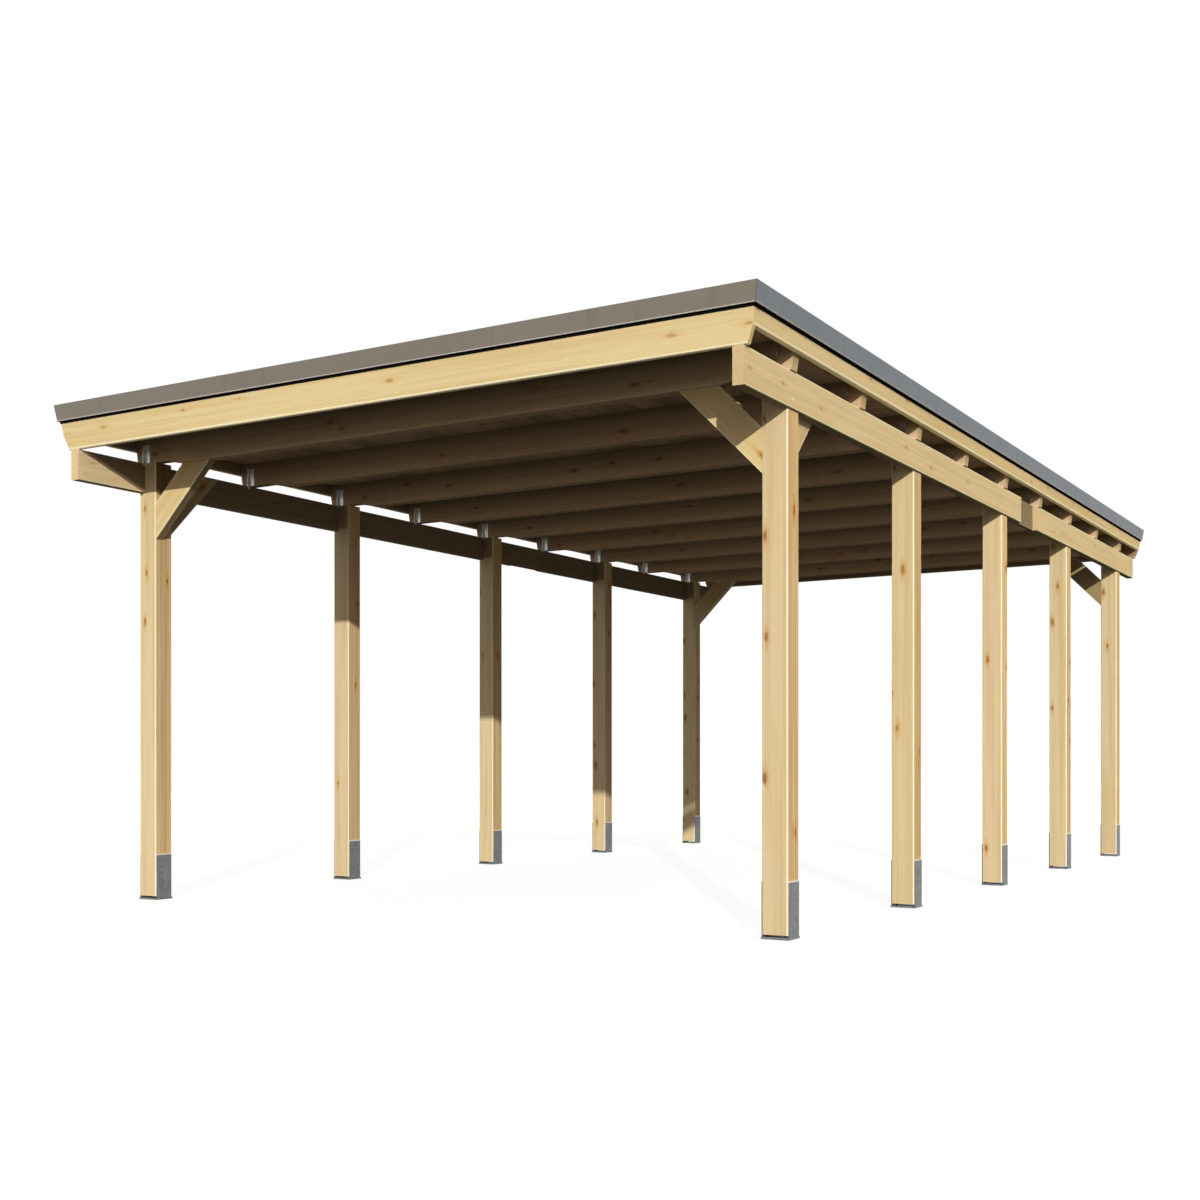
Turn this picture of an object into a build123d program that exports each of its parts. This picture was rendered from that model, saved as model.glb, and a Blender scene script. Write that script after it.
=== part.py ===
# Open timber carport with ten posts, two notched-in purlins, nine rafters and a flat edged roof.
# X runs across the drive, Y runs from the front to the rear and Z is up, with the ground at zero.
import os
from math import cos, radians, sqrt, tan

from build123d import *

os.makedirs("parts", exist_ok=True)

# Posts and their steel shoes
post_size = 120
post_chamfer = 5
row_spacing = 3740
bay_length = 1635
bay_count = 4
base_thick = 10
shoe_air = 10
strap_thick = 5
strap_width = 104
strap_height = 250

# Purlins let into the outer side of the posts
purlin_thick = 50
purlin_height = 160
purlin_proud = 10
lap_start = 345
lap_length = 370
lap_share = 0.5

# Rafters, braces and rafter brackets
seat_height = 2410
fall_deg = 0.4
rafter_thick = 60
rafter_height = 160
rafters_per_bay = 2
seat_cut = 25
seat_run = 200
seat_taper = 120
brace_thick = 50
brace_width = 140
brace_leg = 400
side_brace_leg = 390
side_brace_drop = 15
bracket_width = 38
bracket_height = 100
bracket_drop = 14
bracket_depth = 18
bracket_sheet = 3

# Roof with an outward leaning edge, reaching past the posts
side_overhang = 90
end_overhang = 510
edge_rise = 235
lean_deg = 8.5
fascia_thick = 27
side_gap = 70
corner_proud = 15
trim_height = 85
trim_sheet = 3
trim_set = 12
trim_flange = 60
trim_lip = 4
deck_thick = 19
membrane_thick = 4
membrane_hang = 11

# Eased edges on the sawn timber and an overrun for the cutting shapes
edge_ease = 3
overrun = 200

# Places worked out from the sizes above
fall = tan(radians(fall_deg))
lean = tan(radians(lean_deg))
fascia_run = fascia_thick / cos(radians(lean_deg))
brace_cut = brace_width * sqrt(2)
post_in = row_spacing / 2 - post_size / 2
post_out = row_spacing / 2 + post_size / 2
purlin_out = post_out + purlin_proud
purlin_in = purlin_out - purlin_thick
frame_front = -bay_length * bay_count / 2
half_width = post_out + side_overhang
half_length = post_size / 2 - frame_front + end_overhang
post_rows = [frame_front + bay_length * i for i in range(bay_count + 1)]
rafter_step = bay_length / rafters_per_bay
rafter_count = bay_count * rafters_per_bay + 1
rafter_fronts = [frame_front - post_size / 2 + rafter_step * i for i in range(rafter_count)]
sides = {"left": -1, "right": 1}

# Heights measured down from the top of the roof edge
seat_level = -edge_rise
rafter_low = seat_level - seat_cut
rafter_top = rafter_low + rafter_height
deck_top = rafter_top + deck_thick
side_low = seat_level + side_gap
fascia_top = -trim_sheet - membrane_thick
roof_top = seat_height + edge_rise / cos(radians(fall_deg))

# The roof plane falls to the left and carries the planes for cross and lengthwise profiles
roof_plane = Plane(origin=(0, 0, roof_top), x_dir=(1, 0, fall), z_dir=(-fall, 0, 1))
cross_plane = Plane(origin=roof_plane.origin, x_dir=roof_plane.x_dir, z_dir=-roof_plane.y_dir)
length_plane = Plane(origin=roof_plane.origin, x_dir=roof_plane.y_dir, z_dir=roof_plane.x_dir)
roof_across = Axis(roof_plane.origin, roof_plane.x_dir)


def seat_z(x):
    return seat_height + x * fall


def under_z(x):
    return seat_z(x) - seat_cut / cos(radians(fall_deg))


def fascia_out(z, half):
    return half - trim_set + z * lean


def fascia_in(z, half):
    return fascia_out(z, half) - fascia_run


purlin_ends = fascia_out(seat_level, half_length)

# Posts with a notch for the purlin and a tongue that carries on up beside it
for side, s in sides.items():
    notch_z = seat_z(s * purlin_out) - purlin_height
    outline = [
        (s * post_in, base_thick + shoe_air),
        (s * post_out, base_thick + shoe_air),
        (s * post_out, notch_z),
        (s * purlin_in, notch_z),
        (s * purlin_in, seat_z(s * purlin_in)),
        (s * post_in, seat_z(s * post_in)),
    ]
    for number, y in enumerate(post_rows, 1):
        with BuildPart() as post:
            with BuildSketch(Plane.XZ.offset(-y)):
                with BuildLine():
                    Polyline(*outline, close=True)
                make_face()
            extrude(amount=post_size / 2, both=True)
            long_edges = post.edges().filter_by(Axis.Z).sort_by(SortBy.LENGTH)[-4:]
            chamfer(long_edges, length=post_chamfer)
        post.part.label = f"post_{side}_{number}"
        export_step(post.part, f"parts/{post.part.label}.step")

# U-shaped post shoes, one row to a side
for side, s in sides.items():
    with BuildPart() as shoes:
        for y in post_rows:
            with Locations((s * row_spacing / 2, y, 0)):
                Box(
                    post_size + 2 * strap_thick,
                    post_size,
                    base_thick,
                    align=(Align.CENTER, Align.CENTER, Align.MIN),
                )
            for x in (post_in - strap_thick / 2, post_out + strap_thick / 2):
                with Locations((s * x, y, 0)):
                    Box(
                        strap_thick,
                        strap_width,
                        strap_height,
                        align=(Align.CENTER, Align.CENTER, Align.MIN),
                    )
    shoes.part.label = f"post_shoes_{side}"
    export_step(shoes.part, f"parts/{shoes.part.label}.step")

# Purlins in two lengths, the front one with a thinned tongue that meets the rear one
for side, s in sides.items():
    lap_in = purlin_in + purlin_thick * lap_share
    low = seat_z(s * purlin_out) - purlin_height
    full = [
        (s * purlin_in, low),
        (s * purlin_out, low),
        (s * purlin_out, seat_z(s * purlin_out)),
        (s * purlin_in, seat_z(s * purlin_in)),
    ]
    thinned = [
        (s * purlin_in, low),
        (s * lap_in, low),
        (s * lap_in, seat_z(s * lap_in)),
        (s * purlin_in, seat_z(s * purlin_in)),
    ]
    with BuildPart() as purlin_front:
        with BuildSketch(Plane.XZ.offset(purlin_ends)):
            with BuildLine():
                Polyline(*full, close=True)
            make_face()
        extrude(amount=-(purlin_ends + lap_start))
        with BuildSketch(Plane.XZ.offset(-lap_start)):
            with BuildLine():
                Polyline(*thinned, close=True)
            make_face()
        extrude(amount=-lap_length)
        long_edges = purlin_front.edges().filter_by(Axis.Y).sort_by(SortBy.LENGTH)[-4:]
        chamfer(long_edges, length=edge_ease)
    purlin_front.part.label = f"purlin_front_{side}"
    export_step(purlin_front.part, f"parts/{purlin_front.part.label}.step")
    with BuildPart() as purlin_rear:
        with BuildSketch(Plane.XZ.offset(-purlin_ends)):
            with BuildLine():
                Polyline(*full, close=True)
            make_face()
        extrude(amount=purlin_ends - lap_start - lap_length)
        chamfer(purlin_rear.edges().filter_by(Axis.Y), length=edge_ease)
    purlin_rear.part.label = f"purlin_rear_{side}"
    export_step(purlin_rear.part, f"parts/{purlin_rear.part.label}.step")

# Rafters with a long seat cut over the posts and ends that lean with the fascia
shoulder = post_in - seat_run
rafter_outline = [
    (-shoulder, rafter_low),
    (shoulder, rafter_low),
    (shoulder + seat_taper, seat_level),
    (fascia_in(seat_level, half_width), seat_level),
    (fascia_in(rafter_top, half_width), rafter_top),
    (-fascia_in(rafter_top, half_width), rafter_top),
    (-fascia_in(seat_level, half_width), seat_level),
    (-shoulder - seat_taper, seat_level),
]
for number, y in enumerate(rafter_fronts, 1):
    with BuildPart() as rafter:
        with BuildSketch(cross_plane.offset(-y)):
            with BuildLine():
                Polyline(*rafter_outline, close=True)
            make_face()
        extrude(amount=-rafter_thick)
        low_edges = rafter.edges().filter_by(roof_across).sort_by(Axis.Z)[:2]
        chamfer(low_edges, length=edge_ease)
    rafter.part.label = f"rafter_{number}"
    export_step(rafter.part, f"parts/{rafter.part.label}.step")

# Galvanised anchors folded round the corner between each rafter's front and the purlin's inner face
for side, s in sides.items():
    inward = Align.MAX if s > 0 else Align.MIN
    with BuildPart() as brackets:
        for y in rafter_fronts:
            with Locations((s * purlin_in, y, seat_z(s * purlin_in))):
                Box(
                    bracket_width,
                    bracket_sheet,
                    bracket_height,
                    align=(inward, Align.MAX, Align.MIN),
                )
            with Locations((s * purlin_in, y, seat_z(s * purlin_in) - bracket_drop)):
                Box(
                    bracket_sheet,
                    bracket_depth,
                    bracket_drop + bracket_height,
                    align=(inward, Align.MAX, Align.MIN),
                )
    brackets.part.label = f"rafter_brackets_{side}"
    export_step(brackets.part, f"parts/{brackets.part.label}.step")

# Knee braces between the end posts and the end rafters
brace_rows = {"front": rafter_fronts[0], "rear": rafter_fronts[-1]}
for row, y in brace_rows.items():
    for side, s in sides.items():
        tip_x = post_in - brace_leg
        upper_x = tip_x + brace_cut
        low = under_z(s * tip_x) - brace_leg
        outline = [
            (s * post_in, low),
            (s * post_in, low + brace_cut),
            (s * upper_x, under_z(s * upper_x)),
            (s * tip_x, under_z(s * tip_x)),
        ]
        with BuildPart() as brace:
            with BuildSketch(Plane.XZ.offset(-y)):
                with BuildLine():
                    Polyline(*outline, close=True)
                make_face()
            extrude(amount=-brace_thick)
            chamfer(brace.edges().sort_by(SortBy.LENGTH)[-4:], length=edge_ease)
        brace.part.label = f"brace_{row}_{side}"
        export_step(brace.part, f"parts/{brace.part.label}.step")

# Lengthwise braces from the back of the front posts up beside the purlins
for side, s in sides.items():
    back = post_rows[0] + post_size / 2
    top = seat_z(s * purlin_in) - side_brace_drop
    outline = [
        (back, top - side_brace_leg),
        (back + side_brace_leg, top),
        (back + side_brace_leg - brace_cut, top),
        (back, top - side_brace_leg + brace_cut),
    ]
    with BuildPart() as side_brace:
        with BuildSketch(Plane.YZ.offset(s * purlin_in)):
            with BuildLine():
                Polyline(*outline, close=True)
            make_face()
        extrude(amount=-s * brace_thick)
        chamfer(side_brace.edges().sort_by(SortBy.LENGTH)[-4:], length=edge_ease)
    side_brace.part.label = f"side_brace_{side}"
    export_step(side_brace.part, f"parts/{side_brace.part.label}.step")

# Mitre wedges in plan, shared by the fascia boards and the metal trim
inner_x = half_width - overrun
inner_y = half_length - overrun
outer_x = half_width + overrun
outer_y = half_length + overrun
long_wedge = [(inner_x, -inner_y), (outer_x, -outer_y), (outer_x, outer_y), (inner_x, inner_y)]
cross_wedge = [(-inner_x, inner_y), (-outer_x, outer_y), (outer_x, outer_y), (inner_x, inner_y)]
mitre_waste = [(inner_x, inner_y), (outer_x, outer_y), (outer_x, inner_y)]

# Fascia boards along the sides, kept high so the rafter ends show below them
for side, s in sides.items():
    outline = [
        (s * fascia_out(side_low, half_width), side_low),
        (s * fascia_out(fascia_top, half_width), fascia_top),
        (s * fascia_in(fascia_top, half_width), fascia_top),
        (s * fascia_in(side_low, half_width), side_low),
    ]
    with BuildPart() as fascia:
        with BuildSketch(cross_plane):
            with BuildLine():
                Polyline(*outline, close=True)
            make_face()
        extrude(amount=outer_y, both=True)
        with BuildSketch(roof_plane):
            with BuildLine():
                Polyline(*[(s * x, y) for x, y in long_wedge], close=True)
            make_face()
        extrude(amount=edge_rise + overrun, both=True, mode=Mode.INTERSECT)
        low_edges = fascia.edges().filter_by(Axis.Y).sort_by(Axis.Z)[:2]
        chamfer(low_edges, length=edge_ease)
    fascia.part.label = f"fascia_{side}"
    export_step(fascia.part, f"parts/{fascia.part.label}.step")

# Fascia boards across the ends, standing on the purlins, mitred above the side boards and cut off below
end_rows = {"front": -1, "rear": 1}
corner_x = fascia_out(side_low, half_width)
corner_foot = purlin_out + corner_proud
for row, s in end_rows.items():
    outline = [
        (s * fascia_out(seat_level, half_length), seat_level),
        (s * fascia_out(fascia_top, half_length), fascia_top),
        (s * fascia_in(fascia_top, half_length), fascia_top),
        (s * fascia_in(seat_level, half_length), seat_level),
    ]
    with BuildPart() as end_fascia:
        with BuildSketch(length_plane):
            with BuildLine():
                Polyline(*outline, close=True)
            make_face()
        extrude(amount=outer_x, both=True)
        for end in sides.values():
            with BuildSketch(roof_plane.offset(side_low)):
                with BuildLine():
                    Polyline(*[(end * x, s * y) for x, y in mitre_waste], close=True)
                make_face()
            extrude(amount=edge_rise, mode=Mode.SUBTRACT)
            corner = [
                (end * corner_x, side_low),
                (end * outer_x, side_low),
                (end * outer_x, seat_level - overrun),
                (end * corner_foot, seat_level - overrun),
                (end * corner_foot, seat_level),
            ]
            with BuildSketch(cross_plane):
                with BuildLine():
                    Polyline(*corner, close=True)
                make_face()
            extrude(amount=outer_y, both=True, mode=Mode.SUBTRACT)
        low_edges = end_fascia.edges().filter_by(roof_across).sort_by(Axis.Z)[:2]
        chamfer(low_edges, length=edge_ease)
    end_fascia.part.label = f"fascia_{row}"
    export_step(end_fascia.part, f"parts/{end_fascia.part.label}.step")


def trim_outline(half):
    foot = half - trim_height * lean
    return [
        (half - trim_flange, 0),
        (half, 0),
        (foot + trim_lip * lean, trim_lip - trim_height),
        (foot + trim_lip, -trim_height),
        (foot - trim_sheet, -trim_height),
        (half - trim_sheet - trim_sheet * lean, -trim_sheet),
        (half - trim_flange, -trim_sheet),
    ]


# Folded metal trim on top of the fascia, standing clear of its face
for side, s in sides.items():
    with BuildPart() as trim:
        with BuildSketch(cross_plane):
            with BuildLine():
                Polyline(*[(s * x, z) for x, z in trim_outline(half_width)], close=True)
            make_face()
        extrude(amount=outer_y, both=True)
        with BuildSketch(roof_plane):
            with BuildLine():
                Polyline(*[(s * x, y) for x, y in long_wedge], close=True)
            make_face()
        extrude(amount=edge_rise, both=True, mode=Mode.INTERSECT)
    trim.part.label = f"trim_{side}"
    export_step(trim.part, f"parts/{trim.part.label}.step")
for row, s in end_rows.items():
    with BuildPart() as end_trim:
        with BuildSketch(length_plane):
            with BuildLine():
                Polyline(*[(s * y, z) for y, z in trim_outline(half_length)], close=True)
            make_face()
        extrude(amount=outer_x, both=True)
        with BuildSketch(roof_plane):
            with BuildLine():
                Polyline(*[(x, s * y) for x, y in cross_wedge], close=True)
            make_face()
        extrude(amount=edge_rise, both=True, mode=Mode.INTERSECT)
    end_trim.part.label = f"trim_{row}"
    export_step(end_trim.part, f"parts/{end_trim.part.label}.step")

# Board deck on the rafters, its edges leaning against the fascia
with BuildPart() as roof_deck:
    with BuildSketch(roof_plane.offset(rafter_top)):
        Rectangle(2 * fascia_in(rafter_top, half_width), 2 * fascia_in(rafter_top, half_length))
    extrude(amount=deck_thick, taper=-lean_deg)
roof_deck.part.label = "roof_deck"
export_step(roof_deck.part, "parts/roof_deck.step")

# Membrane on the deck, turned up and over the fascia so that its edge hangs just below the trim
upstand_low = deck_top + membrane_thick
hang_low = -trim_height - membrane_hang


def upstand_outline(half):
    return [
        (fascia_in(upstand_low, half), upstand_low),
        (fascia_in(fascia_top, half), fascia_top),
        (fascia_out(fascia_top, half), fascia_top),
        (fascia_out(hang_low, half), hang_low),
        (fascia_out(hang_low, half) + membrane_thick, hang_low),
        (fascia_out(fascia_top, half) + membrane_thick, -trim_sheet),
        (fascia_in(fascia_top, half) - membrane_thick, -trim_sheet),
        (fascia_in(upstand_low, half) - membrane_thick, upstand_low),
    ]


with BuildPart() as upstands_sides:
    with BuildSketch(cross_plane):
        for s in sides.values():
            with BuildLine():
                Polyline(*[(s * x, z) for x, z in upstand_outline(half_width)], close=True)
            make_face()
    extrude(amount=outer_y, both=True)
    with BuildSketch(roof_plane):
        for s in sides.values():
            with BuildLine():
                Polyline(*[(s * x, y) for x, y in long_wedge], close=True)
            make_face()
    extrude(amount=edge_rise, both=True, mode=Mode.INTERSECT)
upstands_sides.part.label = "membrane_upstands_sides"
export_step(upstands_sides.part, "parts/membrane_upstands_sides.step")
with BuildPart() as upstands_ends:
    with BuildSketch(length_plane):
        for s in end_rows.values():
            with BuildLine():
                Polyline(*[(s * y, z) for y, z in upstand_outline(half_length)], close=True)
            make_face()
    extrude(amount=outer_x, both=True)
    with BuildSketch(roof_plane):
        for s in end_rows.values():
            with BuildLine():
                Polyline(*[(x, s * y) for x, y in cross_wedge], close=True)
            make_face()
    extrude(amount=edge_rise, both=True, mode=Mode.INTERSECT)
upstands_ends.part.label = "membrane_upstands_ends"
export_step(upstands_ends.part, "parts/membrane_upstands_ends.step")
with BuildPart() as roof_membrane:
    with BuildSketch(roof_plane.offset(deck_top)):
        Rectangle(2 * fascia_in(deck_top, half_width), 2 * fascia_in(deck_top, half_length))
    extrude(amount=membrane_thick, taper=-lean_deg)
roof_membrane.part.label = "roof_membrane"
export_step(roof_membrane.part, "parts/roof_membrane.step")
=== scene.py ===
import math
import random
import bpy
from mathutils import Euler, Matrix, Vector


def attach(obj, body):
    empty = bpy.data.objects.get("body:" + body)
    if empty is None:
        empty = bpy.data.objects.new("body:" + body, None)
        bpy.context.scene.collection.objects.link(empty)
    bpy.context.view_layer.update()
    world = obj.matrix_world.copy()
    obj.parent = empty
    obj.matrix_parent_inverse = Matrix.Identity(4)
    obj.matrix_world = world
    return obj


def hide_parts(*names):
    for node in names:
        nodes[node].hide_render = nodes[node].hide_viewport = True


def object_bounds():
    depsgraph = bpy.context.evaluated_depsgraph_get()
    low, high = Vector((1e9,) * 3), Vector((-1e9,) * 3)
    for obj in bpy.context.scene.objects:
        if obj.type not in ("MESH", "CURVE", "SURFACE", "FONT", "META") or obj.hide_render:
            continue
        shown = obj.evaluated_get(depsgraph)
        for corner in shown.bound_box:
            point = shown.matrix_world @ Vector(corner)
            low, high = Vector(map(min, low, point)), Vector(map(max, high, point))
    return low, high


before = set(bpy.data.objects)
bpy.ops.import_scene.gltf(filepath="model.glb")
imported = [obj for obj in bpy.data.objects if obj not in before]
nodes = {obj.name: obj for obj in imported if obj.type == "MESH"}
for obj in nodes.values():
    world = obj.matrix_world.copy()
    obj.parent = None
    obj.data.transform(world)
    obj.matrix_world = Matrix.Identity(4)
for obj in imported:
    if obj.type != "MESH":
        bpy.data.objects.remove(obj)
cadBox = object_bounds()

print("frame loaded:", len(nodes), "pieces")


# Small tools shared by every finish and every node tree
class Wire:                                            # a node socket that works in Python sums
    def __init__(self, tree, socket=None):
        self.tree = tree
        self.socket = socket

    def add(self, kind, settings=None, sockets=None, out=0):
        node = self.tree.nodes.new(kind)
        for name, value in (settings or {}).items():
            setattr(node, name, value)
        for name, value in (sockets or {}).items():
            if isinstance(value, Wire):
                self.tree.links.new(value.socket, node.inputs[name])
            else:
                node.inputs[name].default_value = value
        return Wire(self.tree, node.outputs[out]) if node.outputs else None

    def other(self, name):                             # another output of the same node
        return Wire(self.tree, self.socket.node.outputs[name])

    def maths(self, operation, first, second=0.0):
        return self.add("ShaderNodeMath", {"operation": operation}, {0: first, 1: second})

    def __add__(self, value):
        return self.maths("ADD", self, value)

    def __radd__(self, value):
        return self.maths("ADD", value, self)

    def __sub__(self, value):
        return self.maths("SUBTRACT", self, value)

    def __rsub__(self, value):
        return self.maths("SUBTRACT", value, self)

    def __mul__(self, value):
        return self.maths("MULTIPLY", self, value)

    def __rmul__(self, value):
        return self.maths("MULTIPLY", value, self)

    def __truediv__(self, value):
        return self.maths("DIVIDE", self, value)

    def __rtruediv__(self, value):
        return self.maths("DIVIDE", value, self)

    def __pow__(self, value):
        return self.maths("POWER", self, value)

    def __abs__(self):
        return self.maths("ABSOLUTE", self)

    def floor(self):
        return self.maths("FLOOR", self)

    def fract(self):
        return self.maths("FRACT", self)

    def least(self, value):
        return self.maths("MINIMUM", self, value)

    def most(self, value):
        return self.maths("MAXIMUM", self, value)

    def rise(self, start, end):                        # 0 at start, 1 at end, smooth between
        sockets = {"Value": self, "From Min": start, "From Max": end}
        return self.add("ShaderNodeMapRange", {"interpolation_type": "SMOOTHSTEP"}, sockets)


def paint(red, green, blue):                           # screen values of 0 to 255 as a linear colour
    linear = [((value / 255 + 0.055) / 1.055) ** 2.4 for value in (red, green, blue)]
    return (*linear, 1.0)


def blend(factor, first, second, way="MIX"):
    settings = {"data_type": "RGBA", "blend_type": way}
    return factor.add("ShaderNodeMix", settings, {0: factor, 6: first, 7: second}, 2)


def vector(x, y, z):
    return x.add("ShaderNodeCombineXYZ", None, {0: x, 1: y, 2: z})


def noise(place, scale=1.0, detail=2.0, rough=0.5):
    sockets = {"Vector": place, "Scale": scale, "Detail": detail, "Roughness": rough}
    return place.add("ShaderNodeTexNoise", {"noise_dimensions": "3D"}, sockets)


def axes(place):                                       # the X, Y and Z of a vector
    x = place.add("ShaderNodeSeparateXYZ", None, {0: place})
    return x, x.other("Y"), x.other("Z")


def facingShare(facing, way, start=0.8, end=0.95, both=False):     # 1 on faces that look the given way
    settings = {"operation": "DOT_PRODUCT"}
    share = facing.add("ShaderNodeVectorMath", settings, {0: facing, 1: way}, "Value")
    return (abs(share) if both else share).rise(start, end)


def startFinish(name):
    material = bpy.data.materials.new(name)
    material.use_nodes = True
    material.node_tree.nodes.clear()
    return material, Wire(material.node_tree)


def endFinish(wires, height, relief, sockets):         # bump, shader and output of a finish
    bump = wires.add("ShaderNodeBump", None, {"Strength": 1.0, "Distance": relief, "Height": height})
    shader = wires.add("ShaderNodeBsdfPrincipled", None, {**sockets, "Normal": bump})
    wires.add("ShaderNodeOutputMaterial", None, {"Surface": shader})


def boxAround(places):                                 # lowest and highest corners of a set of places
    low = Vector([min(place[i] for place in places) for i in range(3)])
    high = Vector([max(place[i] for place in places) for i in range(3)])
    return low, high


def dress(piece, material):
    if not piece.material_slots:
        piece.data.materials.append(material)
    for slot in piece.material_slots:
        slot.material = material


# Planed spruce, with rings, streaks and knots that follow each board
spruce = {
    "light": paint(236, 215, 170),
    "dark": paint(211, 182, 130),
    "halo": paint(214, 162, 96),
    "knot": paint(166, 116, 66),
    "heart": paint(118, 76, 42),
    # edge: painted highlight along the long edges; the groove colour below is painted shade on the deck
    # boards
    "edge": paint(250, 240, 204),
    "paintedGrooveShade": paint(122, 98, 66),
    "endGrain": paint(208, 176, 124),
    "ringWidth": 0.0062,
    "fibreWander": 0.030,
    "knotCell": 0.150,
    "knotShare": 0.42,
    "knotLong": 2.4,
    "knotRadius": (0.005, 0.012),
    "knotTail": 0.090,
    "knotRagged": 0.016,
    "knotPush": 0.016,
    "edgeWidth": (0.005, 0.008),
    "broadEdge": (0.013, 0.019),
    "edgeShare": 0.9,
    "glueWidth": (0.0004, 0.0016),
    "glueInset": (0.002, 0.004),
    "pithAcross": (-0.03, 0.03),                       # where the heart of the tree lies beside a piece
    "pithBelow": (0.008, 0.045),
    "stripTone": 0.24,
    "pieceStep": 7.31,                                 # how far apart in the tree pieces are cut
    "stripStep": 3.7,
    "stripJump": 19.0,
    "rippleScale": (22.0, 46.0),                       # repeats a metre, along the grain and across it
    "wanderScale": (0.55, 3.0),
    "streakScale": (0.8, 42.0),
    "fibreScale": (7.0, 380.0),
    "patchScale": (1.6, 5.0),
    "relief": 0.0009,
    "gloss": 0.0,
}


def boardFrame(mesh, turn):                            # turns a piece so its grain runs along X
    rotation = Euler([math.radians(angle) for angle in turn])
    low, high = boxAround([rotation.to_matrix() @ vertex.co for vertex in mesh.vertices])
    return rotation, low, high


def grainNoise(along, across, depth, scale, detail=2.0, rough=0.5):
    place = vector(along * scale[0], across * scale[1], depth * scale[1])
    return noise(place, detail=detail, rough=rough)


def knotMasks(along, across, depth, knotty):           # core, dark heart, halo and tail of each knot
    cell = spruce["knotCell"]
    stretch = cell * spruce["knotLong"]
    wrapped = across + depth                           # a flat pattern, wrapped round the long edges
    sockets = {"Vector": vector(along / stretch, wrapped / cell, 0.0), "Scale": 1.0}
    knots = along.add("ShaderNodeTexVoronoi", {"voronoi_dimensions": "2D"}, sockets)
    lots = along.add("ShaderNodeSeparateColor", None, {0: knots.other("Color")})
    middleAlong, middleWrapped, _ = axes(knots.other("Position"))
    ahead = along - middleAlong * stretch
    aside = wrapped - middleWrapped * cell
    smallest, largest = spruce["knotRadius"]
    radius = smallest + lots * (largest - smallest)
    present = lots.other("Green").rise(1.0 - spruce["knotShare"], 1.02 - spruce["knotShare"]) * knotty
    ripple = grainNoise(along, across, depth, spruce["rippleScale"])
    ratio = (knots * cell + (ripple - 0.5) * spruce["knotRagged"]) / radius
    core = (1.0 - ratio.rise(0.55, 1.2)) * present
    heart = (1.0 - ratio.rise(0.1, 0.8)) * present * lots.other("Blue")
    halo = (1.0 - ratio.rise(0.8, 3.2)) * present
    narrow = 1.0 - (abs(aside) / radius).rise(0.3, 1.7)
    tail = narrow * (1.0 - (abs(ahead) / spruce["knotTail"]).rise(0.1, 1.0))
    return core, heart, halo, tail * present


def lateWood(along, across, depth, pith, halo):        # rings of the tree, pushed aside by the knots
    wander = grainNoise(along, across, depth, spruce["wanderScale"])
    sideways = across - pith[0]
    inwards = depth - pith[1]
    span = (sideways * sideways + inwards * inwards) ** 0.5
    rings = (span + wander * spruce["fibreWander"] + halo * spruce["knotPush"]) / spruce["ringWidth"]
    ring = rings.fract()
    return ring.rise(0.35, 0.9) * (1.0 - ring.rise(0.93, 1.0))


def darkeningAndPaintedShade(value, hue, coords, facing, under, lap, inside, head):
    x, y, z = axes(coords)
    if under:                                          # painted shade: undersides made darker, as if out of the sun
        value = value * (1.0 - facingShare(facing, (0.0, 0.0, -1.0), 0.6, 0.7) * under)
    if lap:                                            # the thinned tongue of a purlin, made darker
        tongue = y.rise(lap["start"], lap["start"] + lap["blur"])
        tongue = tongue * abs(x).rise(lap["inside"], lap["inside"] + lap["blur"])
        value = value * (1.0 - tongue * lap["dirt"])
    if inside:                                         # painted shadow: faces towards the bay, darker and redder behind the sun's edge
        sockets = {0: coords, 1: (-1.0, -1.0, 0.0)}
        towardsBay = coords.add("ShaderNodeVectorMath", {"operation": "MULTIPLY"}, sockets)
        sunEdge = (inside["top"] - z) * inside["slope"] + inside["start"]
        inner = facingShare(facing, towardsBay, 1.0, 1.5) * (y - sunEdge).rise(0.0, inside["blur"])
        value = value * (1.0 - inner * inside["dark"])
        hue = hue - inner * inside["hue"]
    if head:                                           # painted shade on the front of a post's notched head, beside the purlin
        raised = z.rise(head["start"], head["start"] + head["blur"])
        value = value * (1.0 - facingShare(facing, (0.0, -1.0, 0.0)) * raised * head["dark"])
    return value, hue


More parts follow.
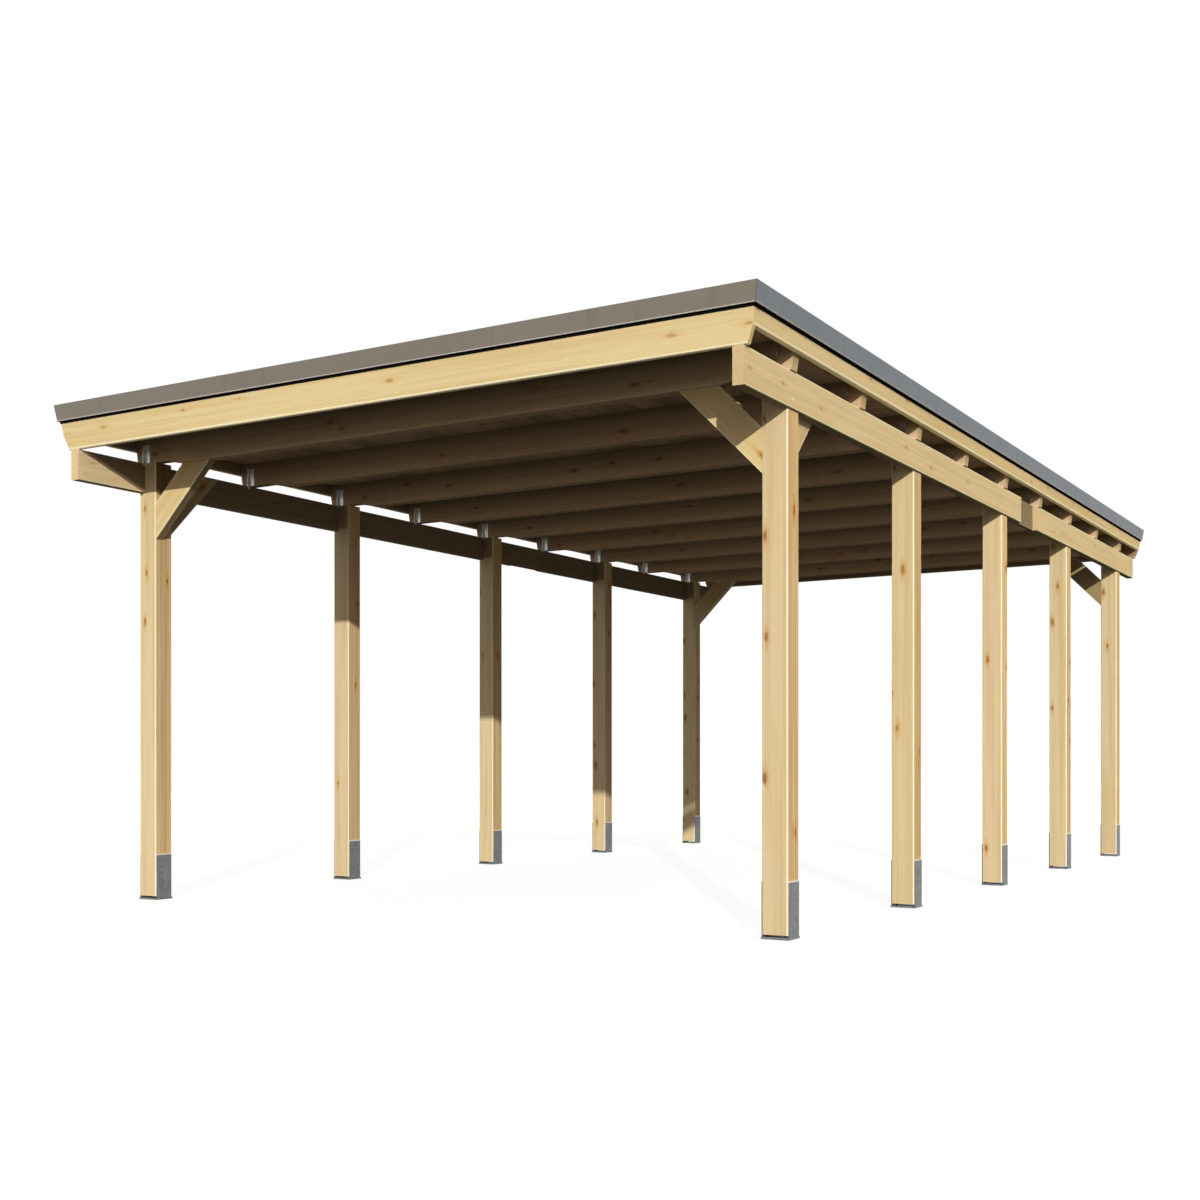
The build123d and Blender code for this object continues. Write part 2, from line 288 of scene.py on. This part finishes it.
def spruceFinish(name, mesh, turn, seed, strip=0.0, glue=0.0, tone=1.0, edges="edge", edgeBandWidth="edgeWidth",
                 hue=0.0, rich=1.0, knotty=1.0, under=0.0, flank=None, paintedDeckShade=None, lap=None, inside=None,
                 head=None):
    chance = random.Random(seed)
    rotation, low, high = boardFrame(mesh, turn)
    half = (high - low) / 2
    material, wires = startFinish(name)
    coords = wires.add("ShaderNodeTexCoord", out="Object")
    facing = wires.add("ShaderNodeNewGeometry", out="True Normal")
    sockets = {"Vector": coords, "Location": -(low + high) / 2, "Rotation": rotation}
    along, across, depth = axes(wires.add("ShaderNodeMapping", {"vector_type": "POINT"}, sockets))
    along = along + seed * spruce["pieceStep"]

    # glued strips or single boards each get their own stretch of tree
    pithAcross = chance.uniform(*spruce["pithAcross"])
    pithDepth = chance.choice((-1, 1)) * (half.z + chance.uniform(*spruce["pithBelow"]))
    stripTone = None
    if strip:
        index = ((across + half.y) / strip).floor()
        sockets = {"W": index + seed * spruce["stripStep"]}
        lot = wires.add("ShaderNodeTexWhiteNoise", {"noise_dimensions": "1D"}, sockets)
        along = along + lot * spruce["stripJump"]
        pithAcross = (index + 0.5) * strip - half.y + (lot - 0.5) * strip
        stripTone = (lot - 0.5) * spruce["stripTone"]

    core, heart, halo, tail = knotMasks(along, across, depth, knotty)
    late = lateWood(along, across, depth, (pithAcross, pithDepth), halo)

    # broad streaks, fine fibres and slow patches of tone
    streak = grainNoise(along, across, depth, spruce["streakScale"], 3.0, 0.6).rise(0.36, 0.68)
    fibre = grainNoise(along, across, depth, spruce["fibreScale"])
    patch = grainNoise(along, across, depth, spruce["patchScale"])
    grain = late * 0.42 + streak * 0.42 + (fibre - 0.5) * 0.35 + (patch - 0.5) * 0.7

    # painted band along the long edges, a highlight on most pieces and a shade on the deck boards, and open
    # end grain
    fromEdge = (half.y - abs(across)) + (half.z - abs(depth))
    edge = 1.0 - fromEdge.rise(*spruce[edgeBandWidth])
    end = facingShare(facing, rotation.to_matrix()[0], both=True)
    sides = 1.0 - end

    colour = blend(grain, spruce["light"], spruce["dark"])
    colour = blend(edge * spruce["edgeShare"], colour, spruce[edges])
    colour = blend((halo * halo * 0.75).most(tail * 0.6) * sides, colour, spruce["halo"])
    colour = blend(core * sides * 0.75, colour, spruce["knot"])
    colour = blend(heart * sides * 0.6, colour, spruce["heart"])
    colour = blend(end * (0.35 + late * 0.4), colour, spruce["endGrain"])
    value = tone * chance.uniform(0.97, 1.03) + (patch - 0.5) * 0.12
    hue = sides * hue + 0.5 + chance.uniform(-0.004, 0.004)
    if flank:                                          # faces across the strips show the strips' tones, and a richer, redder colour as painted warm light
        aslant = facingShare(facing, (1.0, 0.0, 0.0), both=True)
        rich = rich + aslant * flank["rich"]
        hue = hue - aslant * flank["hue"]
        stripTone = stripTone * aslant
    if stripTone:
        value = value + stripTone
    if glue:
        seam = ((across + half.y) / strip).fract()
        line = 1.0 - (seam.least(1.0 - seam) * strip).rise(*spruce["glueWidth"])
        value = value - line * (half.y - abs(across)).rise(*spruce["glueInset"]) * glue
    if paintedDeckShade:                                          # painted shade, darker towards the deck, and painted light, a little brighter at the lower edge
        drop = ((half.z - depth) / (half.z * 2.0)).most(0.0) ** paintedDeckShade["curve"]
        value = value * (paintedDeckShade["top"] + drop * (paintedDeckShade["bottom"] - paintedDeckShade["top"]))
    value, hue = darkeningAndPaintedShade(value, hue, coords, facing, under, lap, inside, head)
    sockets = {"Color": colour, "Value": value, "Saturation": rich, "Hue": hue}
    colour = wires.add("ShaderNodeHueSaturation", None, sockets)

    rough = 0.6 + (fibre - 0.5) * 0.25 - core * 0.15 + end * 0.12
    height = fibre * 0.35 + late * 0.4 - streak * 0.2 + core * 0.5
    sockets = {"Base Color": colour, "Roughness": rough, "Specular IOR Level": spruce["gloss"]}
    endFinish(wires, height, spruce["relief"], sockets)
    return material


# How each kind of timber lies: degrees that bring its grain along X, in roof fall and fascia lean
roof = {"fall": 0.4, "lean": 8.5}
timbers = {
    "post_": ((0, 90, 0), "post_timber"),
    "purlin_": ((0, 0, -90), "purlin_timber"),
    "rafter_": ((0, roof["fall"], 0), "rafter_timber"),
    "brace_front_left": ((0, 45, 0), "brace_timber"),
    "brace_rear_left": ((0, 45, 0), "brace_timber"),
    "brace_front_right": ((0, -45, 0), "brace_timber"),
    "brace_rear_right": ((0, -45, 0), "brace_timber"),
    "side_brace_": ((-45, 0, -90), "brace_timber"),
    "fascia_front": ((-roof["lean"], roof["fall"], 0), "fascia_timber"),
    "fascia_rear": ((roof["lean"], roof["fall"], 0), "fascia_timber"),
    "fascia_left": ((0, roof["lean"], -90), "fascia_timber"),
    "fascia_right": ((0, -roof["lean"], -90), "fascia_timber"),
}

# Tone, painted shade and painted edge highlights of each kind, with sunEdge as the slanting line on inner
# faces where the roof's painted shadow starts
sunEdge = {"start": -3.80, "top": 2.41, "slope": 2.78, "blur": 0.05, "dark": 0.66, "hue": 0.015}
postHeadShade = {"start": 2.24, "blur": 0.015, "dark": 0.5}
purlinLap = {"start": 0.345, "inside": 1.900, "blur": 0.002, "dirt": 0.6}
tones = {
    "post_": {"strip": 0.040, "glue": 0.25, "flank": {"rich": 0.16, "hue": 0.010}},
    "purlin_": {"knotty": 0.4, "inside": sunEdge, "under": 0.65},
    "brace_": {"rich": 1.12, "tone": 1.04, "under": 0.55},
    # rear and side braces toned darker: painted shade where they stand in the roof's shadow
    "brace_rear_left": {"rich": 1.12, "tone": 0.85},
    "brace_rear_right": {"rich": 1.12, "tone": 0.5},
    "side_brace_left": {"rich": 1.08, "tone": 0.7},
    "side_brace_right": {"rich": 1.08, "tone": 0.9},
    "rafter_": {"hue": -0.02, "knotty": 0.7, "edges": "light", "under": 0.55,
                "paintedDeckShade": {"top": 0.30, "bottom": 1.16, "curve": 1.1}},
    # fascia: every inner face painted shaded, and a wider painted highlight along the edges
    "fascia_": {"tone": 1.07, "rich": 1.07, "knotty": 0.55, "edgeBandWidth": "broadEdge",
                "inside": dict(sunEdge, start=-9.0, slope=0.0, dark=0.6, hue=0.02)},
}
tones["purlin_front_left"] = dict(tones["purlin_"], tone=1.12)
# painted shadow on the inner flank of the first left post
tones["post_left_1"] = dict(tones["post_"], inside=dict(sunEdge, hue=0.0))
tones["post_right_1"] = dict(tones["post_"], tone=0.97)
# painted shade on the heads of the left posts behind the first
for number in range(2, 6):
    tones[f"post_left_{number}"] = dict(tones["post_"], head=postHeadShade)
metalNodes = ("post_shoes", "rafter_brackets")
seed = 0
for start, (turn, slotName) in timbers.items():
    for name in sorted(nodes):
        if not name.startswith(start) or name.startswith(metalNodes):
            continue
        seed += 1
        extra = dict(tones.get(name, tones.get(name.split("_")[0] + "_", {})))
        if name.startswith("purlin_front"):
            extra["lap"] = purlinLap
        dress(nodes[name], spruceFinish("spruce_" + name, nodes[name].data, turn, seed, **extra))
print("timber finished:", seed, "pieces")


# Hot-dip galvanised steel with faint spangle
zinc = {
    "light": paint(142, 144, 147),
    "dark": paint(101, 103, 107),
    "bloom": paint(168, 169, 168),
    "spangle": 0.014,
    "metal": 0.55,
    "rough": 0.38,
    "rim": paint(226, 224, 216),
    "rimWidth": 0.006,
    "relief": 0.0003,
}
# painted light: a paler, more mirror-like copy of the zinc, for brackets that stand in the shade
zincPaintedLit = {
    **zinc,
    "light": paint(222, 224, 222),
    "dark": paint(186, 188, 188),
    "bloom": paint(236, 236, 234),
    "spangle": 0.010,
    "metal": 0.85,
    "rough": 0.22,
    "rimWidth": 0.0,
}
# painted shade: a dark brownish copy of the zinc, so brackets in the shade look dark
zincPaintedShaded = {
    **zincPaintedLit,
    "light": paint(164, 146, 122),
    "dark": paint(132, 117, 98),
    "bloom": paint(172, 160, 144),
    "metal": 0.2,
    "rough": 0.5,
}


def zincFinish(name, coat, top):
    material, wires = startFinish(name)
    coords = wires.add("ShaderNodeTexCoord", out="Object")
    wobble = noise(coords, 40.0, 2.0)
    sockets = {"Vector": coords, "Scale": 1.0 / coat["spangle"]}
    flakes = wires.add("ShaderNodeTexVoronoi", {"voronoi_dimensions": "3D"}, sockets)
    lots = wires.add("ShaderNodeSeparateColor", None, {0: flakes.other("Color")})
    cloud = noise(coords, 9.0, 3.0, 0.6)
    shade = lots * 0.45 + cloud * 0.5 + (wobble - 0.5) * 0.3
    colour = blend(shade, coat["dark"], coat["light"])
    colour = blend(cloud.rise(0.58, 0.8) * 0.4, colour, coat["bloom"])
    if coat["rimWidth"]:                               # painted highlight along the top edge
        x, y, z = axes(coords)
        colour = blend(z.rise(top - coat["rimWidth"], top - coat["rimWidth"] * 0.7), colour, coat["rim"])
    rough = coat["rough"] + lots.other("Green") * 0.16 + cloud * 0.1
    height = lots.other("Blue") * 0.3 + wobble * 0.5
    sockets = {"Base Color": colour, "Roughness": rough, "Metallic": coat["metal"]}
    endFinish(wires, height, coat["relief"], sockets)
    return material


strapTop = max(vertex.co.z for vertex in nodes["post_shoes_left"].data.vertices)
steel = zincFinish("galvanised_steel", zinc, strapTop)
steelPaintedLit = zincFinish("galvanised_steel_painted_lit", zincPaintedLit, 0.0)
steelPaintedShaded = zincFinish("galvanised_steel_painted_shade", zincPaintedShaded, 0.0)
# left brackets take the painted lit copy, right brackets the painted shaded copy
finishes = {"rafter_brackets_left": steelPaintedLit, "rafter_brackets_right": steelPaintedShaded}
for name in nodes:
    if name.startswith(metalNodes):
        dress(nodes[name], finishes.get(name, steel))
print("steel finished")


# Coated sheet of the roof edge, with a soft orange peel, rain streaks, mitred corners and a painted highlight
# on the drip edge
coating = {
    "ends": (paint(119, 112, 100), paint(132, 126, 114)),
    # the sides are bluer than the ends: a painted reflection of the sky on the side trims
    "sides": (paint(103, 111, 119), paint(117, 124, 131)),
    "streak": 0.86,
    "seam": paint(52, 50, 46),
    "seamWidth": 0.0014,
    "dripHighlight": paint(214, 210, 208),
    "dripHeight": 0.004,
    "dripBlur": 0.001,
    "relief": 0.0004,
    "gloss": 0.45,
}


def coatingFinish(name, mesh, base, pale):
    fall = math.tan(math.radians(roof["fall"]))
    low = min(vertex.co.z - vertex.co.x * fall for vertex in mesh.vertices)
    material, wires = startFinish(name)
    coords = wires.add("ShaderNodeTexCoord", out="Object")
    x, y, z = axes(coords)
    patch = noise(vector(x * 1.1, y * 1.1, z * 3.0), detail=3.0)
    wash = noise(vector(x * 22.0, y * 22.0, z * 1.2), detail=3.0, rough=0.6)
    peel = noise(coords, 900.0, 1.0)
    colour = blend(patch, base, pale)
    streak = 1.0 - wash.rise(0.52, 0.8) * (1.0 - coating["streak"])
    colour = wires.add("ShaderNodeHueSaturation", None, {"Color": colour, "Value": streak})
    corner = abs((cadBox[1][0] - abs(x)) - (cadBox[1][1] - abs(y)))
    seam = 1.0 - corner.rise(coating["seamWidth"], coating["seamWidth"] * 2.0)
    dripTop = low + coating["dripHeight"]
    dripHighlight = 1.0 - (z - x * fall).rise(dripTop, dripTop + coating["dripBlur"])
    colour = blend(dripHighlight * 0.7, colour, coating["dripHighlight"])
    colour = blend(seam * 0.85, colour, coating["seam"])
    rough = 0.42 + (patch - 0.5) * 0.2 + wash * 0.12
    height = peel * 0.15 - seam
    sockets = {"Base Color": colour, "Roughness": rough, "Specular IOR Level": coating["gloss"]}
    endFinish(wires, height, coating["relief"], sockets)
    return material


for name in ("front", "rear", "left", "right"):
    trim = nodes["trim_" + name]
    shades = coating["ends"] if name in ("front", "rear") else coating["sides"]
    dress(trim, coatingFinish("coated_" + name, trim.data, *shades))
print("edge trim finished")


# Roofing membrane, matt, dusty and slightly wavy
membrane = {
    "base": paint(62, 63, 64),
    "dust": paint(96, 94, 89),
    "damp": paint(48, 49, 50),
    "shadowGapTone": 0.14,
    "gloss": 0.4,
    "relief": 0.0012,
}


def membraneFinish(name, folded, gloss):
    material, wires = startFinish(name)
    coords = wires.add("ShaderNodeTexCoord", out="Object")
    cloud = noise(coords, 0.9, 4.0, 0.6)
    grit = noise(coords, 260.0, 2.0)
    wave = noise(coords, 3.0, 1.0)
    colour = blend(cloud.rise(0.45, 0.75) * 0.6, membrane["base"], membrane["dust"])
    colour = blend((1.0 - cloud).rise(0.58, 0.75) * 0.6, colour, membrane["damp"])
    colour = blend(grit.rise(0.55, 0.8) * 0.3, colour, membrane["dust"])
    if folded:                                         # painted shade: nearly black where it hangs outside the fascia, in the shadow gap under the trim
        facing = wires.add("ShaderNodeNewGeometry", out="True Normal")
        sockets = {0: coords, 1: (1.0, 1.0, 0.0)}
        outwards = wires.add("ShaderNodeVectorMath", {"operation": "MULTIPLY"}, sockets)
        outer = facingShare(facing, outwards, -0.2, 0.2)
        sockets = {"Color": colour, "Value": 1.0 - outer * (1.0 - membrane["shadowGapTone"])}
        colour = wires.add("ShaderNodeHueSaturation", None, sockets)
    rough = 0.78 + (cloud - 0.5) * 0.3
    height = grit * 0.12 + wave * 2.0
    sockets = {"Base Color": colour, "Roughness": rough, "Specular IOR Level": gloss}
    endFinish(wires, height, membrane["relief"], sockets)
    return material


roofing = membraneFinish("roof_membrane", False, membrane["gloss"])
foldedEdge = membraneFinish("membrane_edge", True, 0.0)
for name in nodes:
    if "membrane" in name:
        dress(nodes[name], foldedEdge if "upstands" in name else roofing)
print("membrane finished")


# Geometry Nodes: trees built here, baked to plain meshes
def startTree(name, inputs):
    tree = bpy.data.node_groups.new(name, "GeometryNodeTree")
    tree.interface.new_socket("Geometry", in_out="INPUT", socket_type="NodeSocketGeometry")
    kinds = {int: "NodeSocketInt", float: "NodeSocketFloat"}
    keys = {}
    for label, value in inputs.items():
        kind = kinds.get(type(value), "NodeSocketMaterial")
        keys[label] = tree.interface.new_socket(label, in_out="INPUT", socket_type=kind).identifier
    tree.interface.new_socket("Geometry", in_out="OUTPUT", socket_type="NodeSocketGeometry")
    return Wire(tree), Wire(tree).add("NodeGroupInput"), keys


def endTree(wires, shape, given):
    solid = wires.add("GeometryNodeRealizeInstances", None, {0: shape})
    sockets = {"Geometry": solid, "Material": given.other("Material")}
    solid = wires.add("GeometryNodeSetMaterial", None, sockets)
    wires.add("NodeGroupOutput", None, {0: solid})


def bakeTree(name, mesh, tree, keys, inputs):
    piece = bpy.data.objects.new(name, mesh)
    bpy.context.scene.collection.objects.link(piece)
    modifier = piece.modifiers.new("build", "NODES")
    modifier.node_group = tree
    for label, value in inputs.items():
        modifier[keys[label]] = value
    bpy.context.view_layer.update()
    graph = bpy.context.evaluated_depsgraph_get()
    plain = bpy.data.meshes.new_from_object(piece.evaluated_get(graph), depsgraph=graph)
    piece.modifiers.clear()
    piece.data = plain
    return piece


# A row of chamfered boards laid side by side along Y
def boardRow(name, inputs):
    wires, given, keys = startTree(name, inputs)
    sockets = {"Width": given.other("Width"), "Height": given.other("Thickness")}
    profile = wires.add("GeometryNodeCurvePrimitiveQuadrilateral", {"mode": "RECTANGLE"}, sockets)
    sockets = {"Curve": profile, "Count": 1, "Radius": given.other("Chamfer")}
    profile = wires.add("GeometryNodeFilletCurve", {"mode": "POLY"}, sockets)
    ends = wires.add("ShaderNodeCombineXYZ", None, {1: given.other("Length")})
    path = wires.add("GeometryNodeCurvePrimitiveLine", None, {"End": ends})
    sockets = {"Curve": path, "Profile Curve": profile, "Fill Caps": True}
    board = wires.add("GeometryNodeCurveToMesh", None, sockets)
    step = wires.add("ShaderNodeCombineXYZ", None, {0: given.other("Spacing")})
    sockets = {"Count": given.other("Count"), "Offset": step}
    row = wires.add("GeometryNodeMeshLine", {"mode": "OFFSET"}, sockets)
    copies = wires.add("GeometryNodeInstanceOnPoints", None, {"Points": row, "Instance": board})
    endTree(wires, copies, given)
    return bakeTree(name, bpy.data.meshes.new(name), wires.tree, keys, inputs)


def centreRow(mesh, middle):                           # brings the middle of a row to a place
    low, high = boxAround([vertex.co for vertex in mesh.vertices])
    for vertex in mesh.vertices:
        vertex.co += middle - (low + high) / 2


# Deck boards under the membrane, in place of the plain deck
deck = {
    "boardWidth": 0.118,
    "groove": 0.004,
    "joint": 0.0015,
    "inset": 0.004,
    # tone: the boards are made darker, a painted shade of the roof's underside
    "tone": 0.5,
    "hue": -0.02,
    "seed": 61,
}
tilt, deckLow, deckHigh = boardFrame(nodes["roof_deck"].data, (0, roof["fall"], 0))
deckLow.x += deck["inset"]
deckHigh.x -= deck["inset"]
boardCount = round((deckHigh.x - deckLow.x) / deck["boardWidth"])
boardStep = (deckHigh.x - deckLow.x) / boardCount
inputs = {
    "Width": boardStep - deck["joint"],
    "Thickness": deckHigh.z - deckLow.z,
    "Chamfer": deck["groove"],
    "Length": deckHigh.y - deckLow.y - deck["inset"] * 2,
    "Spacing": boardStep,
    "Count": boardCount,
    "Material": steel,                                 # until the boards have their own finish, below
}
deckBoards = boardRow("deck_boards", inputs)
centreRow(deckBoards.data, (deckLow + deckHigh) / 2)
deckBoards.data.transform(tilt.to_matrix().inverted().to_4x4())
deckFinish = spruceFinish("spruce_deck", deckBoards.data, (0, 0, -90), deck["seed"], strip=boardStep,
                          tone=deck["tone"], hue=deck["hue"], edges="paintedGrooveShade")
dress(deckBoards, deckFinish)
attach(deckBoards, "root")
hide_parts("roof_deck")
print("deck boards:", boardCount)


# Welded laps between the strips of roofing, on top of the plain membrane
laps = {"width": 0.090, "thickness": 0.003, "roundShare": 0.4, "count": 3, "spacing": 1.0, "inset": 0.30}
tilt, roofLow, roofHigh = boardFrame(nodes["roof_membrane"].data, (0, roof["fall"], 0))
inputs = {
    "Width": laps["width"],
    "Thickness": laps["thickness"],
    "Chamfer": laps["thickness"] * laps["roundShare"],
    "Length": roofHigh.y - roofLow.y - laps["inset"],
    "Spacing": laps["spacing"],
    "Count": laps["count"],
    "Material": roofing,
}
lapStrips = boardRow("membrane_laps", inputs)
middle = (roofLow + roofHigh) / 2
middle.z = roofHigh.z + laps["thickness"] * laps["roundShare"]
centreRow(lapStrips.data, middle)
lapStrips.data.transform(tilt.to_matrix().inverted().to_4x4())
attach(lapStrips, "root")
print("membrane laps:", laps["count"])


# Countersunk screws, set on the surface of the piece they hold
screw = {"radius": 0.0048, "proud": 0.0007, "sides": 10, "recess": 0.42, "recessDeep": 0.0006}


def screwHeads(name, seats, inputs):                   # seats are places with the way that each head faces
    mesh = bpy.data.meshes.new(name)
    mesh.from_pydata([place for place, facing in seats], [], [])
    facings = mesh.attributes.new("facing", "FLOAT_VECTOR", "POINT")
    for item, (place, facing) in zip(facings.data, seats):
        item.vector = facing
    wires, given, keys = startTree(name, inputs)
    depth = given.other("Proud") * 2.0
    sockets = {"Vertices": given.other("Sides"), "Radius": given.other("Radius"), "Depth": depth}
    head = wires.add("GeometryNodeMeshCylinder", {"fill_type": "NGON"}, sockets)
    sockets = {"Mesh": head, "Selection": head.other("Top"), "Offset Scale": 0.0}
    rim = wires.add("GeometryNodeExtrudeMesh", {"mode": "FACES"}, sockets)
    sockets = {"Geometry": rim, "Selection": rim.other("Top"), "Scale": given.other("Recess")}
    slot = wires.add("GeometryNodeScaleElements", {"domain": "FACE"}, sockets)
    sockets = {"Mesh": slot, "Selection": rim.other("Top"), "Offset Scale": given.other("Recess Deep") * -1.0}
    head = wires.add("GeometryNodeExtrudeMesh", {"mode": "FACES"}, sockets)
    facing = wires.add("GeometryNodeInputNamedAttribute", {"data_type": "FLOAT_VECTOR"}, {"Name": "facing"})
    turn = wires.add("FunctionNodeAlignRotationToVector", {"axis": "Z"}, {"Vector": facing})
    sockets = {"Points": given, "Instance": head, "Rotation": turn}
    copies = wires.add("GeometryNodeInstanceOnPoints", None, sockets)
    endTree(wires, copies, given)
    return bakeTree(name, mesh, wires.tree, keys, inputs)


def seatOn(node, place):                               # the nearest spot on a piece and its outward normal
    found, spot, normal, face = nodes[node].closest_point_on_mesh(Vector(place))
    return spot, normal


def boxOf(name):
    return boxAround([vertex.co for vertex in nodes[name].data.vertices])


# Where the screws sit: offsets from the pieces' own middles and ends
screwPlaces = {
    "strapHeights": (0.085, 0.195),
    "strapSpread": 0.030,
    "reach": 0.020,
    "anchorHeights": (0.030, 0.080),
    "purlinSpread": 0.028,
    "purlinRise": 0.040,
    "fasciaRise": 0.028,
}
seats = []
posts = sorted(name for name in nodes if name.startswith("post_") and "shoes" not in name)
for name in posts:
    side = name.split("_")[1]
    outward = -1 if side == "left" else 1
    low, high = boxOf(name)
    mid = (low + high) / 2
    for face in (low.x - screwPlaces["reach"], high.x + screwPlaces["reach"]):
        for height in screwPlaces["strapHeights"]:
            for offset in (-screwPlaces["strapSpread"], screwPlaces["strapSpread"]):
                seats.append(seatOn("post_shoes_" + side, (face, mid.y + offset, height)))
    for offset in (-1, 1):
        purlin = "purlin_front_" + side if mid.y < purlinLap["start"] else "purlin_rear_" + side
        purlinLow, purlinHigh = boxOf(purlin)
        place = (
            outward * (max(abs(purlinLow.x), abs(purlinHigh.x)) + screwPlaces["reach"]),
            mid.y + offset * screwPlaces["purlinSpread"],
            (purlinLow.z + purlinHigh.z) / 2 + offset * screwPlaces["purlinRise"],
        )
        seats.append(seatOn(purlin, place))
rafters = sorted(name for name in nodes if name.startswith("rafter_") and "brackets" not in name)
for name in rafters:
    low, high = boxOf(name)
    for side, outward in (("left", -1), ("right", 1)):
        anchorLow, anchorHigh = boxOf("rafter_brackets_" + side)
        fasciaLow, fasciaHigh = boxOf("fascia_" + side)
        x = (anchorLow.x + anchorHigh.x) / 2
        for height in screwPlaces["anchorHeights"]:
            place = (x, low.y - screwPlaces["reach"], anchorHigh.z - height)
            seats.append(seatOn("rafter_brackets_" + side, place))
        edge = max(abs(fasciaLow.x), abs(fasciaHigh.x)) + screwPlaces["reach"]
        place = (outward * edge, (low.y + high.y) / 2, fasciaLow.z + screwPlaces["fasciaRise"])
        seats.append(seatOn("fascia_" + side, place))
inputs = {
    "Radius": screw["radius"],
    "Proud": screw["proud"],
    "Sides": screw["sides"],
    "Recess": screw["recess"],
    "Recess Deep": screw["recessDeep"],
    "Material": steel,
}
screws = screwHeads("screws", seats, inputs)
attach(screws, "root")
print("screws:", len(seats))


# Floor that looks white and keeps a faint shadow, darker to bounced light
floorLook = {"size": 120.0, "drop": 0.002, "glow": 0.9, "shadow": 0.17, "bounce": 0.15}


def litDirectly(wires):                                # 1 for rays that show the background itself
    path = wires.add("ShaderNodeLightPath", out="Is Camera Ray")
    return path.most(path.other("Is Glossy Ray")).most(path.other("Is Transmission Ray"))


def makeFloor():
    reach = floorLook["size"]
    mesh = bpy.data.meshes.new("floor")
    corners = [(-reach, -reach), (reach, -reach), (reach, reach), (-reach, reach)]
    mesh.from_pydata([(x, y, -floorLook["drop"]) for x, y in corners], [], [(0, 1, 2, 3)])
    floor = bpy.data.objects.new("floor", mesh)
    bpy.context.scene.collection.objects.link(floor)
    material, wires = startFinish("floor")
    grey = (floorLook["bounce"],) * 3 + (1.0,)
    pale = (floorLook["shadow"],) * 3 + (1.0,)
    plain = wires.add("ShaderNodeBsdfDiffuse", None, {"Color": grey})
    shown = wires.add("ShaderNodeBsdfDiffuse", None, {"Color": pale})
    glow = wires.add("ShaderNodeEmission", None, {"Strength": floorLook["glow"]})
    white = wires.add("ShaderNodeAddShader", None, {0: shown, 1: glow})
    surface = wires.add("ShaderNodeMixShader", None, {0: litDirectly(wires), 1: plain, 2: white})
    wires.add("ShaderNodeOutputMaterial", None, {"Surface": surface})
    dress(floor, material)


makeFloor()

# Low key light from the front right, soft ones from the right, the front and the back, and a pale even fill
light = {
    "key": {"travel": (-0.64, 1.0, -0.36), "strength": 2.68, "colour": (1.0, 0.975, 0.915), "softness": 0.6},
    "side": {"travel": (-1.0, 0.05, -0.95), "strength": 0.68, "colour": (1.0, 0.86, 0.5), "softness": 30.0},
    "front": {"travel": (-0.45, 1.0, -0.08), "strength": 0.27, "colour": (1.0, 0.87, 0.83), "softness": 25.0},
    "back": {"travel": (0.6, -1.0, -0.5), "strength": 0.9, "colour": (1.0, 0.97, 0.92), "softness": 50.0},
    "fill": 0.38,
    "fillColour": (0.95, 0.94, 1.0, 1.0),
}


def makeLamp(name, travel, strength, colour, softness):
    lamp = bpy.data.lights.new(name, "SUN")
    lamp.energy = strength
    lamp.color = colour
    lamp.angle = math.radians(softness)
    sun = bpy.data.objects.new(name, lamp)
    sun.rotation_euler = Vector(travel).to_track_quat("-Z", "Y").to_euler()
    bpy.context.scene.collection.objects.link(sun)


def makeLight():
    for name in ("key", "side", "front", "back"):
        makeLamp(name, **light[name])
    world = bpy.data.worlds.new("studio")
    world.use_nodes = True
    world.node_tree.nodes.clear()
    wires = Wire(world.node_tree)
    sockets = {"Color": light["fillColour"], "Strength": light["fill"]}
    fill = wires.add("ShaderNodeBackground", None, sockets)
    white = wires.add("ShaderNodeBackground", None, {"Color": (1, 1, 1, 1), "Strength": 1.0})
    surface = wires.add("ShaderNodeMixShader", None, {0: litDirectly(wires), 1: fill, 2: white})
    wires.add("ShaderNodeOutputWorld", None, {"Surface": surface})
    bpy.context.scene.world = world


makeLight()
print("floor and light ready")

# Camera at the photograph's place, level, with the frame shifted up
camera = {"place": (4.5227, -9.35, 0.7711), "turn": 30.2809, "lens": 45.99, "sensor": 36.0, "shift": 0.1326}


def makeCamera():
    lens = bpy.data.cameras.new("camera")
    lens.lens = camera["lens"]
    lens.sensor_width = camera["sensor"]
    lens.shift_y = camera["shift"]
    viewer = bpy.data.objects.new("camera", lens)
    viewer.location = camera["place"]
    viewer.rotation_euler = (math.radians(90), 0, math.radians(camera["turn"]))
    bpy.context.scene.collection.objects.link(viewer)
    bpy.context.scene.camera = viewer


makeCamera()
bpy.context.scene.view_settings.view_transform = "Standard"
print("camera ready")
